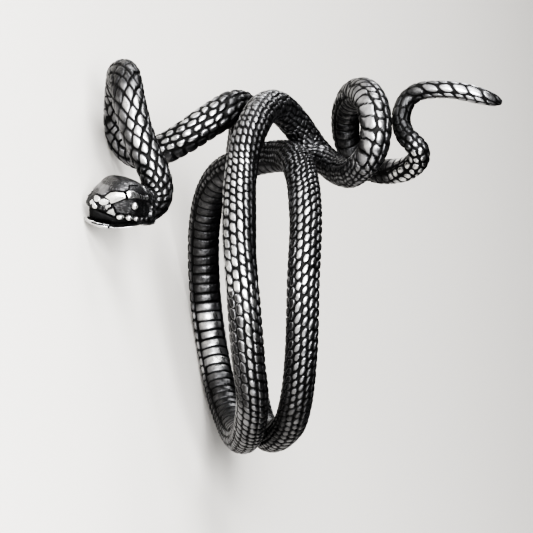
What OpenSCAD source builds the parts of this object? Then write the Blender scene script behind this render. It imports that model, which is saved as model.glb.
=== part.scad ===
// A snake wrap ring: one silver casting. The snake's body makes two hoops round the finger,
// rises over itself in two arches and ends in a neck loop with the head and a curled tail.
// The snake is laid out round an upright finger hole and then leant over, as the ring lies.

/* [Fit] */
// Inside diameter of the hoops
finger_d = 18.5; // [15:0.1:23]

/* [Body] */
// Diameter of the body along the hoops
body_d = 2.5; // [2:0.05:3]
// Height of a scale's top over the grooves around it
scale_relief = 0.12; // [0.04:0.01:0.2]
// Distance between the rings of points that carry the scales
scale_step = 0.7; // [0.6:0.05:1.2]

/* [Head] */
// Length from the nape to the snout
head_l = 5; // [4:0.1:6.5]
// Width over the cheeks
head_w = 4.2; // [3.4:0.1:5.5]
// Height from the chin to the crown
head_h = 3.4; // [2.8:0.1:4.4]
// Diameter of an eye
eye_d = 0.6; // [0.4:0.05:0.9]
// Thickness of a brow ridge
brow_d = 0.8; // [0.5:0.05:1.1]
// Angle between the head and the finger, turned outwards
head_yaw = 11; // [0:1:25]

/* [Lying] */
// Turn of the ring about the finger before it is laid down
lie_spin = 47; // [35:0.5:60]
// Angle between the finger and the floor once it lies
lie_tilt = 64.3; // [55:0.1:75]
// Turn of the lying ring on the floor
lie_turn = 61.8; // [0:0.1:180]

/* [Hidden] */
sides = 14;
belly_sides = 2;
silver = [0.62, 0.62, 0.63];

// Columns of the route: turn round the finger from the top in degrees, rise of the centreline
// over the finger and place along it as shares of body_d, girth as a share of body_d,
// and roll of the snake's back round its own centreline in degrees
TURN = 0;
RISE = 1;
ALONG = 2;
GIRTH = 3;
ROLL = 4;

// The neck, from the nape over the upright loop to the first arch
NECK = [
    [-40, 1.17, -3.91, 0.82, -170],
    [-39, 1.02, -3.67, 0.88, -165],
    [-36, 0.99, -3.44, 0.93, -160],
    [-32, 1.11, -3.33, 0.94, -156],
    [-27, 1.42, -3.40, 0.95, -155],
    [-23, 1.75, -3.60, 0.96, -153],
    [-18, 2.25, -3.82, 0.99, -150],
    [-12, 2.78, -3.95, 1.00, -146],
    [-5, 3.17, -3.96, 1.00, -144],
    [2, 3.20, -3.92, 1.00, -143],
    [9, 2.78, -3.88, 1.00, -144],
    [14, 2.26, -3.86, 1.00, -144],
    [18, 1.66, -3.84, 1.00, -138],
    [20, 1.18, -3.72, 0.99, -122],
    [19, 0.82, -3.44, 0.97, -100],
    [15, 0.70, -3.06, 0.96, -72],
    [10, 0.88, -2.60, 0.97, -45],
    [7, 1.22, -2.01, 1.00, -22],
    [7, 1.49, -1.58, 1.03, -8],
    [8, 1.77, -1.08, 1.05, 0],
    [10, 2.00, -0.60, 1.05, 0],
];
// The two hoops, from the first arch down the back, up the front, across and round again
HOOPS = [
    [14, 2.00, -0.20, 1.04, 0],
    [21, 1.78, 0.03, 1.02, 0],
    [30, 1.42, 0.08, 1.00, 0],
    [42, 1.02, 0.09, 1.00, 0],
    [56, 0.70, 0.15, 1.00, 0],
    [75, 0.52, 0.23, 1.00, 0],
    [105, 0.50, 0.27, 1.00, 0],
    [140, 0.50, 0.26, 1.00, 0],
    [180, 0.50, 0.22, 1.00, 0],
    [205, 0.50, 0.34, 1.00, 0],
    [225, 0.50, 0.54, 1.00, 0],
    [260, 0.50, 0.60, 1.00, 0],
    [290, 0.50, 0.70, 1.00, 0],
    [320, 0.50, 1.00, 1.00, 0],
    [345, 0.50, 1.15, 1.00, 0],
    [367, 0.50, 1.10, 1.00, 0],
    [381, 0.50, 0.55, 1.00, 0],
    [396, 0.50, -0.35, 1.00, 0],
    [412, 0.50, -0.76, 1.00, 0],
    [435, 0.50, -0.92, 1.00, 0],
    [466, 0.50, -0.88, 1.00, 0],
    [500, 0.50, -0.74, 1.00, 0],
    [538, 0.50, -0.62, 1.00, 0],
    [575, 0.50, -0.66, 1.00, 0],
    [600, 0.50, -0.74, 1.00, 0],
    [620, 0.50, -0.94, 1.00, 0],
    [645, 0.50, -1.07, 1.00, 0],
    [668, 0.50, -1.08, 1.00, 0],
    [688, 0.62, -0.90, 1.00, 0],
    [699, 1.05, -0.72, 1.00, 0],
    [705, 1.55, -0.52, 1.00, 0],
    [710, 1.95, -0.22, 1.00, 0],
];
// The tail, from the second arch through the round loop and the small bend to its tip
TAIL = [
    [716, 2.13, 0.12, 1.00, 0],
    [722, 2.12, 0.55, 0.98, -5],
    [726, 1.92, 0.90, 0.97, -10],
    [731, 1.52, 1.32, 0.96, -25],
    [735, 1.06, 1.70, 0.94, -45],
    [736, 0.62, 2.02, 0.92, -75],
    [731, 0.26, 2.30, 0.90, -105],
    [720, 0.08, 2.52, 0.88, -125],
    [708, 0.28, 2.70, 0.88, -134],
    [702, 0.80, 2.95, 0.90, -134],
    [701, 1.36, 3.20, 0.93, -128],
    [704, 1.92, 3.32, 0.97, -121],
    [709, 2.32, 3.32, 1.00, -118],
    [716, 2.45, 3.28, 0.99, -116],
    [722, 2.40, 3.20, 0.96, -118],
    [728, 2.18, 3.08, 0.94, -120],
    [735, 1.75, 3.02, 0.91, -123],
    [740, 1.28, 3.05, 0.88, -126],
    [744, 0.88, 3.17, 0.86, -130],
    [747, 0.51, 3.38, 0.84, -135],
    [745, 0.15, 3.67, 0.81, -144],
    [739, -0.06, 3.99, 0.79, -154],
    [731, -0.10, 4.31, 0.78, -166],
    [724, 0.00, 4.58, 0.76, -180],
    [719, 0.21, 4.79, 0.73, -190],
    [716, 0.50, 4.89, 0.70, -194],
    [715, 0.76, 4.84, 0.68, -200],
    [716, 0.94, 4.70, 0.65, -206],
    [719, 1.09, 4.55, 0.63, -212],
    [722, 1.29, 4.48, 0.61, -218],
    [724, 1.55, 4.48, 0.60, -222],
    [726, 1.80, 4.57, 0.59, -226],
    [727, 2.09, 4.76, 0.58, -233],
    [726, 2.30, 5.05, 0.57, -242],
    [724, 2.38, 5.40, 0.56, -246],
    [722, 2.40, 5.88, 0.55, -250],
    [721, 2.33, 6.34, 0.55, -256],
    [720, 2.21, 6.80, 0.52, -261],
    [720, 2.06, 7.25, 0.38, -263],
    [720, 1.98, 7.46, 0.16, -263],
];
ROUTE = concat(NECK, HOOPS, TAIL);
// Row of the route at which the body is cut in two lengths, each clear of itself
CUT_ROW = len(NECK) + 16;
// Where lengths of the body lie against each other and are soldered: pairs of rows of the route
JOINTS = [
    [[27.7, 41.6], [28.4, 42.4], [29.0, 43.0], [29.7, 43.6]],
    [[23.3, 37.7], [23.9, 38.1], [24.5, 38.7]],
    [[36.3, 56.7], [36.3, 57.0]],
];
// Thickness of the solder between two lengths as a share of body_d
solder = 0.5;

// A smooth curve through four neighbouring rows of a table, between the middle two
function smooth(a, b, c, d, t) =
    b + (c - a) * t / 2 + (2 * a - 5 * b + 4 * c - d) * t * t / 2
    + (3 * b - a - 3 * c + d) * t * t * t / 2;
// The place of a row of the route
function place(row) =
    let (r = finger_d / 2 + row[RISE] * body_d)
    [row[ALONG] * body_d, r * sin(row[TURN]), r * cos(row[TURN])];
function unit(v) = v / norm(v);
function across(v, t) = unit(v - t * (v * t));
// The vector v carried from one direction of travel to the next with no twist
function carry(v, t0, t1) =
    let (k = cross(t0, t1))
    across(v * (t0 * t1) + cross(k, v) + k * (k * v) / (1 + t0 * t1), t1);

LAST = len(ROUTE) - 1;
PADDED = concat([2 * ROUTE[0] - ROUTE[1]], ROUTE, [2 * ROUTE[LAST] - ROUTE[LAST - 1]]);
// The place of any point of the route, such as half way between two rows
function spot(at) =
    let (i = floor(at))
    place(smooth(PADDED[i], PADDED[i + 1], PADDED[i + 2], PADDED[i + 3], at - i));
STEPS = [for (i = [0:LAST - 1])
    max(1, round(norm(place(ROUTE[i + 1]) - place(ROUTE[i])) / scale_step))];
// The route at every ring, with the number of the row that it follows as a last column
STATIONS = [
    for (i = [0:LAST - 1], j = [0:STEPS[i] - 1])
        concat(smooth(PADDED[i], PADDED[i + 1], PADDED[i + 2], PADDED[i + 3], j / STEPS[i]), [i]),
    concat(ROUTE[LAST], [LAST]),
];
ROW = 5;
COUNT = len(STATIONS);
CENTRES = [for (s = STATIONS) place(s)];
AIMS = [for (i = [0:COUNT - 1])
    unit(CENTRES[min(i + 1, COUNT - 1)] - CENTRES[max(i - 1, 0)])];
HOOPS_FROM = len([for (s = STATIONS) if (s[ROW] < len(NECK)) 1]);
HOOPS_TO = len([for (s = STATIONS) if (s[ROW] < len(NECK) + len(HOOPS) - 1) 1]);
CUT = len([for (s = STATIONS) if (s[ROW] < CUT_ROW) 1]);
// The side of the body that faces away from the finger
function outward(i) = across([0, CENTRES[i].y, CENTRES[i].z], AIMS[i]);
NECK_BACKS = [for (i = HOOPS_FROM, v = outward(HOOPS_FROM); i > 0;
    i = i - 1, v = carry(v, AIMS[i + 1], AIMS[i])) i > 0 ? carry(v, AIMS[i], AIMS[i - 1]) : v];
TAIL_BACKS = [for (i = HOOPS_TO + 1, v = carry(outward(HOOPS_TO), AIMS[HOOPS_TO], AIMS[HOOPS_TO + 1]);
    i < COUNT; i = i + 1, v = i < COUNT ? carry(v, AIMS[i - 1], AIMS[i]) : v) v];
function back(i) =
    i < HOOPS_FROM ? NECK_BACKS[HOOPS_FROM - 1 - i]
    : i > HOOPS_TO ? TAIL_BACKS[i - HOOPS_TO - 1]
    : outward(i);

// One ring of points: scale tops and grooves take turns round the back and the flanks,
// and the belly has one wide plate to every other ring
function is_belly(j) = abs(j - sides / 2) <= belly_sides;
function is_top(i, j) = is_belly(j) ? i % 2 == 0 : (i + j) % 2 == 0;
function ring(i) =
    let (t = AIMS[i], roll = STATIONS[i][ROLL])
    let (u = back(i) * cos(roll) + cross(t, back(i)) * sin(roll), v = cross(t, u))
    [for (j = [0:sides - 1])
        let (
            a = j * 360 / sides,
            r = STATIONS[i][GIRTH] * (body_d / 2 - (is_top(i, j) ? 0 : scale_relief))
        )
        CENTRES[i] + r * (u * cos(a) + v * sin(a))];
// The four-sided patch between two rings, folded along its groove
function patch(i, j, first) =
    let (
        k = (j + 1) % sides,
        a = (i - first) * sides + j,
        b = (i - first) * sides + k,
        c = a + sides,
        d = b + sides
    )
    is_top(i, j) ? [[a, c, b], [b, c, d]] : [[a, c, d], [a, d, b]];

// A length of the body from one station to another
module body(first, last) {
    rings = [for (i = [first:last]) ring(i)];
    polyhedron(
        points = [for (r = rings, p = r) p],
        faces = concat(
            [for (i = [first:last - 1], j = [0:sides - 1], f = patch(i, j, first)) f],
            [[for (j = [0:sides - 1]) j]],
            [[for (j = [sides - 1:-1:0]) (last - first) * sides + j]]
        ),
        convexity = 12
    );
}

// A web of solder between two lengths of the body
module join(pairs) {
    for (i = [0:len(pairs) - 2])
        hull()
            for (pair = [pairs[i], pairs[i + 1]], at = pair)
                translate(spot(at)) sphere(d = solder * body_d, $fn = 12);
}

// Columns of the head's sections: place from the nape as a share of head_l, half width as a
// share of head_w, upper edge and lower edge as shares of head_h over the neck's centreline
SKULL = [
    [-0.05, 0.26, 0.34, -0.34],
    [0.10, 0.38, 0.52, -0.36],
    [0.25, 0.47, 0.61, -0.33],
    [0.38, 0.50, 0.65, -0.24],
    [0.50, 0.48, 0.65, -0.11],
    [0.64, 0.41, 0.59, -0.03],
    [0.78, 0.32, 0.47, 0.05],
    [0.90, 0.22, 0.34, 0.10],
    [0.98, 0.10, 0.24, 0.14],
];
JAW = [
    [0.10, 0.30, -0.16, -0.34],
    [0.30, 0.41, -0.22, -0.36],
    [0.50, 0.39, -0.23, -0.36],
    [0.65, 0.33, -0.19, -0.34],
    [0.80, 0.25, -0.14, -0.29],
    [0.92, 0.16, -0.09, -0.22],
    [0.99, 0.07, -0.07, -0.15],
];
head_sides = 16;
// Places of the brow ridge and the lip: length, half width and height shares as above
BROW = [[0.20, 0.36, 0.42], [0.36, 0.43, 0.44], [0.52, 0.41, 0.43], [0.68, 0.31, 0.37]];
LIP = [[0.40, 0.46, -0.17], [0.56, 0.41, -0.06], [0.72, 0.33, 0.02], [0.87, 0.22, 0.09]];
EYE = [0.33, 0.46, 0.20];
lip_d = 0.36 * brow_d / 0.8;

function sgn_pow(x, p) = sign(x) * pow(abs(x), p);
// A rounded box of a section, with a flat crown
function head_ring(row) =
    [for (j = [0:head_sides - 1])
        let (a = j * 360 / head_sides)
        [
            row[0] * head_l,
            row[1] * head_w * sgn_pow(cos(a), 0.75),
            head_h * ((row[2] + row[3]) / 2 + (row[2] - row[3]) / 2 * sgn_pow(sin(a), 0.8))
        ]];
module head_loft(table) {
    n = len(table);
    polyhedron(
        points = [for (row = table, p = head_ring(row)) p],
        faces = concat(
            [for (i = [0:n - 2], j = [0:head_sides - 1])
                let (k = (j + 1) % head_sides, a = i * head_sides)
                for (f = [[a + j, a + head_sides + j, a + k],
                          [a + k, a + head_sides + j, a + head_sides + k]]) f],
            [[for (j = [0:head_sides - 1]) j]],
            [[for (j = [head_sides - 1:-1:0]) (n - 1) * head_sides + j]]
        )
    );
}
function head_at(share, side) = [share[0] * head_l, side * share[1] * head_w, share[2] * head_h];
// A ridge that follows a short table along one side of the head
module ridge(table, side, d) {
    for (i = [0:len(table) - 2])
        hull() {
            translate(head_at(table[i], side)) sphere(d = d, $fn = 10);
            translate(head_at(table[i + 1], side)) sphere(d = d, $fn = 10);
        }
}
module head() {
    head_loft(SKULL);
    head_loft(JAW);
    for (side = [-1, 1]) {
        ridge(BROW, side, brow_d);
        ridge(LIP, side, lip_d);
        translate(head_at(EYE, side)) sphere(d = eye_d, $fn = 12);
    }
}
// A point of the head in the upright ring
NAPE = place(ROUTE[1]);
function spin_x(p, a) = [p.x, p.y * cos(a) - p.z * sin(a), p.y * sin(a) + p.z * cos(a)];
function spin_y(p, a) = [p.x * cos(a) + p.z * sin(a), p.y, p.z * cos(a) - p.x * sin(a)];
function spin_z(p, a) = [p.x * cos(a) - p.y * sin(a), p.x * sin(a) + p.y * cos(a), p.z];
function head_point(p) = NAPE + spin_z(p, 180 + head_yaw);
// A point of the upright ring once the ring is laid down, before it is set on the floor
function laid(p) = spin_z(spin_y(spin_x(p, -lie_spin), -lie_tilt), lie_turn);
REACH = [[1, 0, 0], [-1, 0, 0], [0, 1, 0], [0, -1, 0], [0, 0, 1], [0, 0, -1]];
LAID = concat(
    [for (i = [0:COUNT - 1], p = ring(i)) laid(p)],
    [for (row = concat(SKULL, JAW), p = head_ring(row)) laid(head_point(p))],
    [for (side = [-1, 1], share = BROW, way = REACH)
        laid(head_point(head_at(share, side))) + way * brow_d / 2]
);
XS = [for (p = LAID) p.x];
YS = [for (p = LAID) p.y];
ZS = [for (p = LAID) p.z];
SET_DOWN = -[(min(XS) + max(XS)) / 2, (min(YS) + max(YS)) / 2, min(ZS)];

// The upright ring round its finger hole, the finger along X
module upright() {
    body(0, CUT);
    body(CUT, COUNT - 1);
    for (pairs = JOINTS)
        join(pairs);
    translate(NAPE) rotate([0, 0, 180 + head_yaw]) head();
}
// The ring as it lies by itself, on its snout, its neck and the back of its hoops
module snake() {
    color(silver)
        translate(SET_DOWN)
            rotate([0, 0, lie_turn]) rotate([0, -lie_tilt, 0]) rotate([-lie_spin, 0, 0])
                upright();
}
snake();
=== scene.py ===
# %% [markdown]
# # A snake wrap ring in oxidised silver
#
# The real ring is one lost-wax casting: a snake whose body makes two hoops round the finger,
# rises over itself in two arches, and ends in a neck loop with the head and in a curled tail.
# A wax model is carved scale by scale, cast in sterling silver, blackened with liver of sulphur
# and rubbed back, so the scale tops shine and the grooves between them stay black.
#
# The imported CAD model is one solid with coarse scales. Here it is replaced by pieces that follow
# the same route and have every scale as real geometry.

# %% Load the frame
import math
import bpy
import numpy as np
from mathutils import Matrix, Vector


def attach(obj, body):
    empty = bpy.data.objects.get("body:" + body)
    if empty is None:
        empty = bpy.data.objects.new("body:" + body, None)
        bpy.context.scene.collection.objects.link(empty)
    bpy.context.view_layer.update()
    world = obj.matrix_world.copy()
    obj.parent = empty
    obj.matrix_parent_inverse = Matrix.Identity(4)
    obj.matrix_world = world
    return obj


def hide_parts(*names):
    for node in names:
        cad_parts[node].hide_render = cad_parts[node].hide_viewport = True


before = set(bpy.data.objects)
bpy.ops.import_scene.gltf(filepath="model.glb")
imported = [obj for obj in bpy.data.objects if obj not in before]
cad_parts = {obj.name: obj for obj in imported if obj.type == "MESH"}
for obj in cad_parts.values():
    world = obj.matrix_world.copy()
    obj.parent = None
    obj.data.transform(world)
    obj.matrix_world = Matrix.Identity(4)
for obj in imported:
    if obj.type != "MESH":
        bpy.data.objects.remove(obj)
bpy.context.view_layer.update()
MM = 0.001

# %% [markdown]
# ## From the upright ring to the lying ring
#
# A maker thinks of a ring upright, with the finger along X and the top of the hoops at +Z. The
# ring in the frame has been leant over, as it lies by itself on a table. One rotation and one
# shift take a point of the upright ring, in millimetres, to the frame, in metres. They are the
# same turns that the CAD source makes.

# %% Turns and shift of the lying ring
def turned(axis, degrees):
    return np.array(Matrix.Rotation(math.radians(degrees), 3, axis))


LAY_DOWN = turned("Z", 61.8) @ turned("Y", -64.3) @ turned("X", -47)
HOLE_CENTRE = np.array([3.934, 2.186, 7.547])


def laid(points):
    """Points of the upright ring, in mm, as they lie in the frame, in metres."""
    return (np.asarray(points) @ LAY_DOWN.T + HOLE_CENTRE) * MM


print("the finger runs along", np.round(LAY_DOWN[:, 0], 3))

# %% [markdown]
# ## Camera
#
# The two hoops show as narrow ellipses, and their shape gives the viewing angle: 10 degrees
# round from square on to the finger, 15 degrees above it. A small thing is photographed with a
# long lens, here about 270 mm from 0.3 m away, so lines that run away from the eye hardly meet.
# The camera keeps that angle to the ring, so it rolls over with the ring as it lies down.

# %% Camera
VIEW_TURN = math.radians(-10)
VIEW_RISE = math.radians(15)
VIEW_DISTANCE = 300
LOOK_AT = (0.788, 2.288)  # mm to the right of the hole's middle and above it, in the picture
SENSOR, LENS = 36, 270.1  # mm
CAMERA_RIGHT = np.array([math.cos(VIEW_TURN), math.sin(VIEW_TURN), 0])
CAMERA_BACK = np.array([math.sin(VIEW_TURN) * math.cos(VIEW_RISE),
                        -math.cos(VIEW_TURN) * math.cos(VIEW_RISE),
                        math.sin(VIEW_RISE)])
CAMERA_UP = np.cross(CAMERA_BACK, CAMERA_RIGHT)


def seen_from_camera(right, up, back):
    """A point given in millimetres to the right, up and towards the eye in the picture."""
    return Vector(laid(CAMERA_RIGHT * right + CAMERA_UP * up + CAMERA_BACK * back))


camera = bpy.data.objects.new("camera", bpy.data.cameras.new("camera"))
camera.data.sensor_width = SENSOR
camera.data.lens = LENS
camera.data.clip_start = 0.01
camera.data.clip_end = 20
axes = Matrix([Vector(LAY_DOWN @ v) for v in (CAMERA_RIGHT, CAMERA_UP, CAMERA_BACK)]).transposed()
camera.matrix_world = (Matrix.Translation(seen_from_camera(*LOOK_AT, VIEW_DISTANCE))
                       @ axes.to_4x4())
bpy.context.scene.collection.objects.link(camera)
bpy.context.scene.camera = camera
print("camera at, mm:", [round(v / MM) for v in camera.location])

# %% [markdown]
# ## The route of the body
#
# The body is one tube along a smooth curve. A row of each table says where the centreline is:
# turn round the finger in degrees, rise over the finger and place along it in body diameters,
# girth as a share of the diameter, and roll of the snake's back in degrees. They are the rows
# of the CAD source. A bevelled Blender curve could follow such a route, but it knows nothing of
# back and belly, so the rings of points are worked out here with numpy.

# %% Tables of the route
FINGER_D = 18.5
BODY_D = 2.5
NECK = [
    [-40, 1.17, -3.91, 0.82, -170], [-39, 1.02, -3.67, 0.88, -165], [-36, 0.99, -3.44, 0.93, -160],
    [-32, 1.11, -3.33, 0.94, -156], [-27, 1.42, -3.40, 0.95, -155], [-23, 1.75, -3.60, 0.96, -153],
    [-18, 2.25, -3.82, 0.99, -150], [-12, 2.78, -3.95, 1.00, -146], [-5, 3.17, -3.96, 1.00, -144],
    [2, 3.20, -3.92, 1.00, -143], [9, 2.78, -3.88, 1.00, -144], [14, 2.26, -3.86, 1.00, -144],
    [18, 1.66, -3.84, 1.00, -138], [20, 1.18, -3.72, 0.99, -122], [19, 0.82, -3.44, 0.97, -100],
    [15, 0.70, -3.06, 0.96, -72], [10, 0.88, -2.60, 0.97, -45], [7, 1.22, -2.01, 1.00, -22],
    [7, 1.49, -1.58, 1.03, -8], [8, 1.77, -1.08, 1.05, 0], [10, 2.00, -0.60, 1.05, 0],
]
HOOPS = [
    [14, 2.00, -0.20, 1.04, 0], [21, 1.78, 0.03, 1.02, 0], [30, 1.42, 0.08, 1.00, 0],
    [42, 1.02, 0.09, 1.00, 0], [56, 0.70, 0.15, 1.00, 0], [75, 0.52, 0.23, 1.00, 0],
    [105, 0.50, 0.27, 1.00, 0], [140, 0.50, 0.26, 1.00, 0], [180, 0.50, 0.22, 1.00, 0],
    [205, 0.50, 0.34, 1.00, 0], [225, 0.50, 0.54, 1.00, 0], [260, 0.50, 0.60, 1.00, 0],
    [290, 0.50, 0.70, 1.00, 0], [320, 0.50, 1.00, 1.00, 0], [345, 0.50, 1.15, 1.00, 0],
    [367, 0.50, 1.10, 1.00, 0], [381, 0.50, 0.55, 1.00, 0], [396, 0.50, -0.35, 1.00, 0],
    [412, 0.50, -0.76, 1.00, 0], [435, 0.50, -0.92, 1.00, 0], [466, 0.50, -0.88, 1.00, 0],
    [500, 0.50, -0.74, 1.00, 0], [538, 0.50, -0.62, 1.00, 0], [575, 0.50, -0.66, 1.00, 0],
    [600, 0.50, -0.74, 1.00, 0], [620, 0.50, -0.94, 1.00, 0], [645, 0.50, -1.07, 1.00, 0],
    [668, 0.50, -1.08, 1.00, 0], [688, 0.62, -0.90, 1.00, 0], [699, 1.05, -0.72, 1.00, 0],
    [705, 1.55, -0.52, 1.00, 0], [710, 1.95, -0.22, 1.00, 0],
]
TAIL = [
    [716, 2.13, 0.12, 1.00, 0], [722, 2.12, 0.55, 0.98, -5], [726, 1.92, 0.90, 0.97, -10],
    [731, 1.52, 1.32, 0.96, -25], [735, 1.06, 1.70, 0.94, -45], [736, 0.62, 2.02, 0.92, -75],
    [731, 0.26, 2.30, 0.90, -105], [720, 0.08, 2.52, 0.88, -125], [708, 0.28, 2.70, 0.88, -134],
    [702, 0.80, 2.95, 0.90, -134], [701, 1.36, 3.20, 0.93, -128], [704, 1.92, 3.32, 0.97, -121],
    [709, 2.32, 3.32, 1.00, -118], [716, 2.45, 3.28, 0.99, -116], [722, 2.40, 3.20, 0.96, -118],
    [728, 2.18, 3.08, 0.94, -120], [735, 1.75, 3.02, 0.91, -123], [740, 1.28, 3.05, 0.88, -126],
    [744, 0.88, 3.17, 0.86, -130], [747, 0.51, 3.38, 0.84, -135], [745, 0.15, 3.67, 0.81, -144],
    [739, -0.06, 3.99, 0.79, -154], [731, -0.10, 4.31, 0.78, -166], [724, 0.00, 4.58, 0.76, -180],
    [719, 0.21, 4.79, 0.73, -190], [716, 0.50, 4.89, 0.70, -194], [715, 0.76, 4.84, 0.68, -200],
    [716, 0.94, 4.70, 0.65, -206], [719, 1.09, 4.55, 0.63, -212], [722, 1.29, 4.48, 0.61, -218],
    [724, 1.55, 4.48, 0.60, -222], [726, 1.80, 4.57, 0.59, -226], [727, 2.09, 4.76, 0.58, -233],
    [726, 2.30, 5.05, 0.57, -242], [724, 2.38, 5.40, 0.56, -246], [722, 2.40, 5.88, 0.55, -250],
    [721, 2.33, 6.34, 0.55, -256], [720, 2.21, 6.80, 0.52, -261], [720, 2.06, 7.25, 0.38, -263],
    [720, 1.98, 7.46, 0.16, -263],
]
ROUTE = np.array(NECK + HOOPS + TAIL, float)
print("rows of the route:", len(ROUTE))

# %% [markdown]
# ## Rings of points along the route
#
# The rows are joined by a Catmull-Rom curve, and the curve is cut into even steps that are fine
# enough for a groove of a tenth of a millimetre. The back of the snake faces away from the
# finger on the hoops. Off the hoops it is carried along with no twist, and the roll column
# turns it.

# %% Points along the route
STEP = 0.07  # mm from ring to ring
AROUND = 120  # points in a ring
SAMPLES = 40  # points between two rows of the route, to measure its length by


def smooth_rows(table, at):
    """Rows of a table at fractional row numbers, on a Catmull-Rom curve."""
    padded = np.vstack([2 * table[0] - table[1], table, 2 * table[-1] - table[-2]])
    i = np.minimum(np.floor(at).astype(int), len(table) - 2)
    t = (at - i)[:, None]
    a, b, c, d = padded[i], padded[i + 1], padded[i + 2], padded[i + 3]
    return (b + (c - a) * t / 2 + (2 * a - 5 * b + 4 * c - d) * t**2 / 2
            + (3 * b - a - 3 * c + d) * t**3 / 2)


def place(rows):
    """Points of the centreline, in upright mm, for rows of the route."""
    radius = FINGER_D / 2 + rows[:, 1] * BODY_D
    turn = np.radians(rows[:, 0])
    return np.stack([rows[:, 2] * BODY_D, radius * np.sin(turn), radius * np.cos(turn)], 1)


def unit(v):
    return v / np.linalg.norm(v, axis=-1, keepdims=True)


sampled = np.linspace(0, len(ROUTE) - 1, SAMPLES * (len(ROUTE) - 1) + 1)
walked = np.concatenate([[0], np.cumsum(np.linalg.norm(
    np.diff(place(smooth_rows(ROUTE, sampled)), axis=0), axis=1))])
LENGTH = walked[-1]
along = np.linspace(0, LENGTH, round(LENGTH / STEP) + 1)
row_at = np.interp(along, walked, sampled)
rows = smooth_rows(ROUTE, row_at)
centres = place(rows)
aims = unit(np.gradient(centres, axis=0))
radii = rows[:, 3] * BODY_D / 2
print(f"body {LENGTH:.1f} mm long, {len(along)} rings of {AROUND} points")


# %% The snake's back along the route
def carried(v, before, after):
    """The vector v taken from one direction of travel to the next with no twist."""
    k = np.cross(before, after)
    v = v * (before @ after) + np.cross(k, v) + k * (k @ v) / (1 + before @ after)
    return unit(v - after * (v @ after))


hoops_from = int(np.argmax(row_at >= len(NECK)))
hoops_to = int(np.argmax(row_at >= len(NECK) + len(HOOPS) - 1))
outward = centres * [0, 1, 1]
backs = unit(outward - aims * np.sum(outward * aims, 1, keepdims=True))
for i in range(hoops_from - 1, -1, -1):
    backs[i] = carried(backs[i + 1], aims[i + 1], aims[i])
for i in range(hoops_to + 1, len(along)):
    backs[i] = carried(backs[i - 1], aims[i - 1], aims[i])
roll = np.radians(rows[:, 4:5])
backs = backs * np.cos(roll) + np.cross(aims, backs) * np.sin(roll)
flanks = np.cross(aims, backs)
print(f"hoops from {along[hoops_from]:.1f} to {along[hoops_to]:.1f} mm behind the nape")

# %% [markdown]
# ## Scales
#
# The carver works in three patterns. The neck has diamonds, each row shifted by half a scale.
# From there to the tip run rounded bricks in columns. The belly has one row of wide plates. A
# displacement texture could draw such scales, but it would stretch on the bends, so they are
# worked out along the body. A pattern gives every point of the skin its place within a scale,
# from 0 in the middle to 1 at the groove. Each scale also has a tilt and a tone of its own,
# because no two were cut quite alike.

# %% Patterns of scales
OFF_PLACE = 0.14  # how far a scale may sit off its place, in half scales
GROOVE_SPREAD = 0.16  # how much the width of the grooves differs from scale to scale


def luck(i, j, salt=0.0):
    """A number from 0 to 1 that belongs to one scale. The odd factors only scatter it."""
    x = np.sin(i * 12.9898 + j * 78.233 + salt) * 43758.5453
    return x - np.floor(x)


def cell(p, q, sharpness, lean=0.0, gap=0.0, finer=1.0):
    """Place within a scale, tilt and tone, from coordinates p and q that grow by 1 a scale.

    Sharpness 2 gives round scales and more gives sharper corners. Lean slants the sides of a
    scale, gap widens its grooves, and finer above 1 narrows the grooves along its sides.
    """
    i, j = np.floor(p), np.floor(q)
    a, b = 2 * (p - i) - 1, 2 * (q - j) - 1
    b = np.sign(b) * np.clip(1 - (1 - np.abs(b)) * finer, 0, 1)
    border = np.maximum(np.abs(a), np.abs(b))
    a += OFF_PLACE * (luck(i, j, 1.0) - 0.5)
    b += OFF_PLACE * (luck(i, j, 2.0) - 0.5)
    edge = (np.abs(a) ** sharpness + np.abs(b - lean * a) ** sharpness) ** (1 / sharpness)
    tilt = (luck(i, j) - 0.5) * a + (luck(i, j, 5.0) - 0.5) * b
    edge = edge * (1 + gap + GROOVE_SPREAD * (luck(i, j, 3.0) - 0.5))
    return np.minimum(np.maximum(edge, border), 1), tilt, luck(i, j, 9.0)


# %% Ramps, mixtures and uneven skin
def eased(x):
    """A smooth ramp from 0 at x = 0 to 1 at x = 1, flat outside."""
    x = np.clip(x, 0, 1)
    return x * x * (3 - 2 * x)


def mixed(a, b, share):
    """a where the share is 0, b where it is 1."""
    return a * (1 - share) + b * share


def uneven(points, size):
    """Unevenness from -1 to 1 with bumps of about size mm, as on metal left as cast.

    It adds three waves that bend each other; the odd factors keep them from lining up.
    """
    x, y, z = np.moveaxis(points * (2 * math.pi / size), -1, 0)
    return (np.sin(x + 1.3 * np.sin(0.7 * y)) + np.sin(1.1 * y + 1.7 * np.sin(0.6 * z))
            + np.sin(0.9 * z + 1.5 * np.sin(0.8 * x + 0.5 * y))) / 3


# %% [markdown]
# ## Tables along the body
#
# Scales and polish change along the snake, so most of their sizes are tables with rows of [mm
# from the nape, value], read off the ring in the picture. Before its first row and after its
# last, a table keeps its value. Angles run round the body from 0 in the middle of the back to
# 180 in the middle of the belly, and are above 0 on the snake's left.

# %% Reading a table
def between(s, table):
    """Values from a table of [mm along the body, value], eased between its rows."""
    at, values = np.array(table, float).T
    i = np.clip(np.searchsorted(at, s) - 1, 0, len(at) - 2)
    return values[i] + (values[i + 1] - values[i]) * eased((s - at[i]) / (at[i + 1] - at[i]))


def along_body(table):
    """The value of a table at each ring of points."""
    return between(along, table)[:, None]


def scales_passed(table):
    """How many scales of the lengths in a table lie between the nape and each ring."""
    return np.concatenate([[0], np.cumsum(np.diff(along) / between(along[:-1], table))])[:, None]


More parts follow.
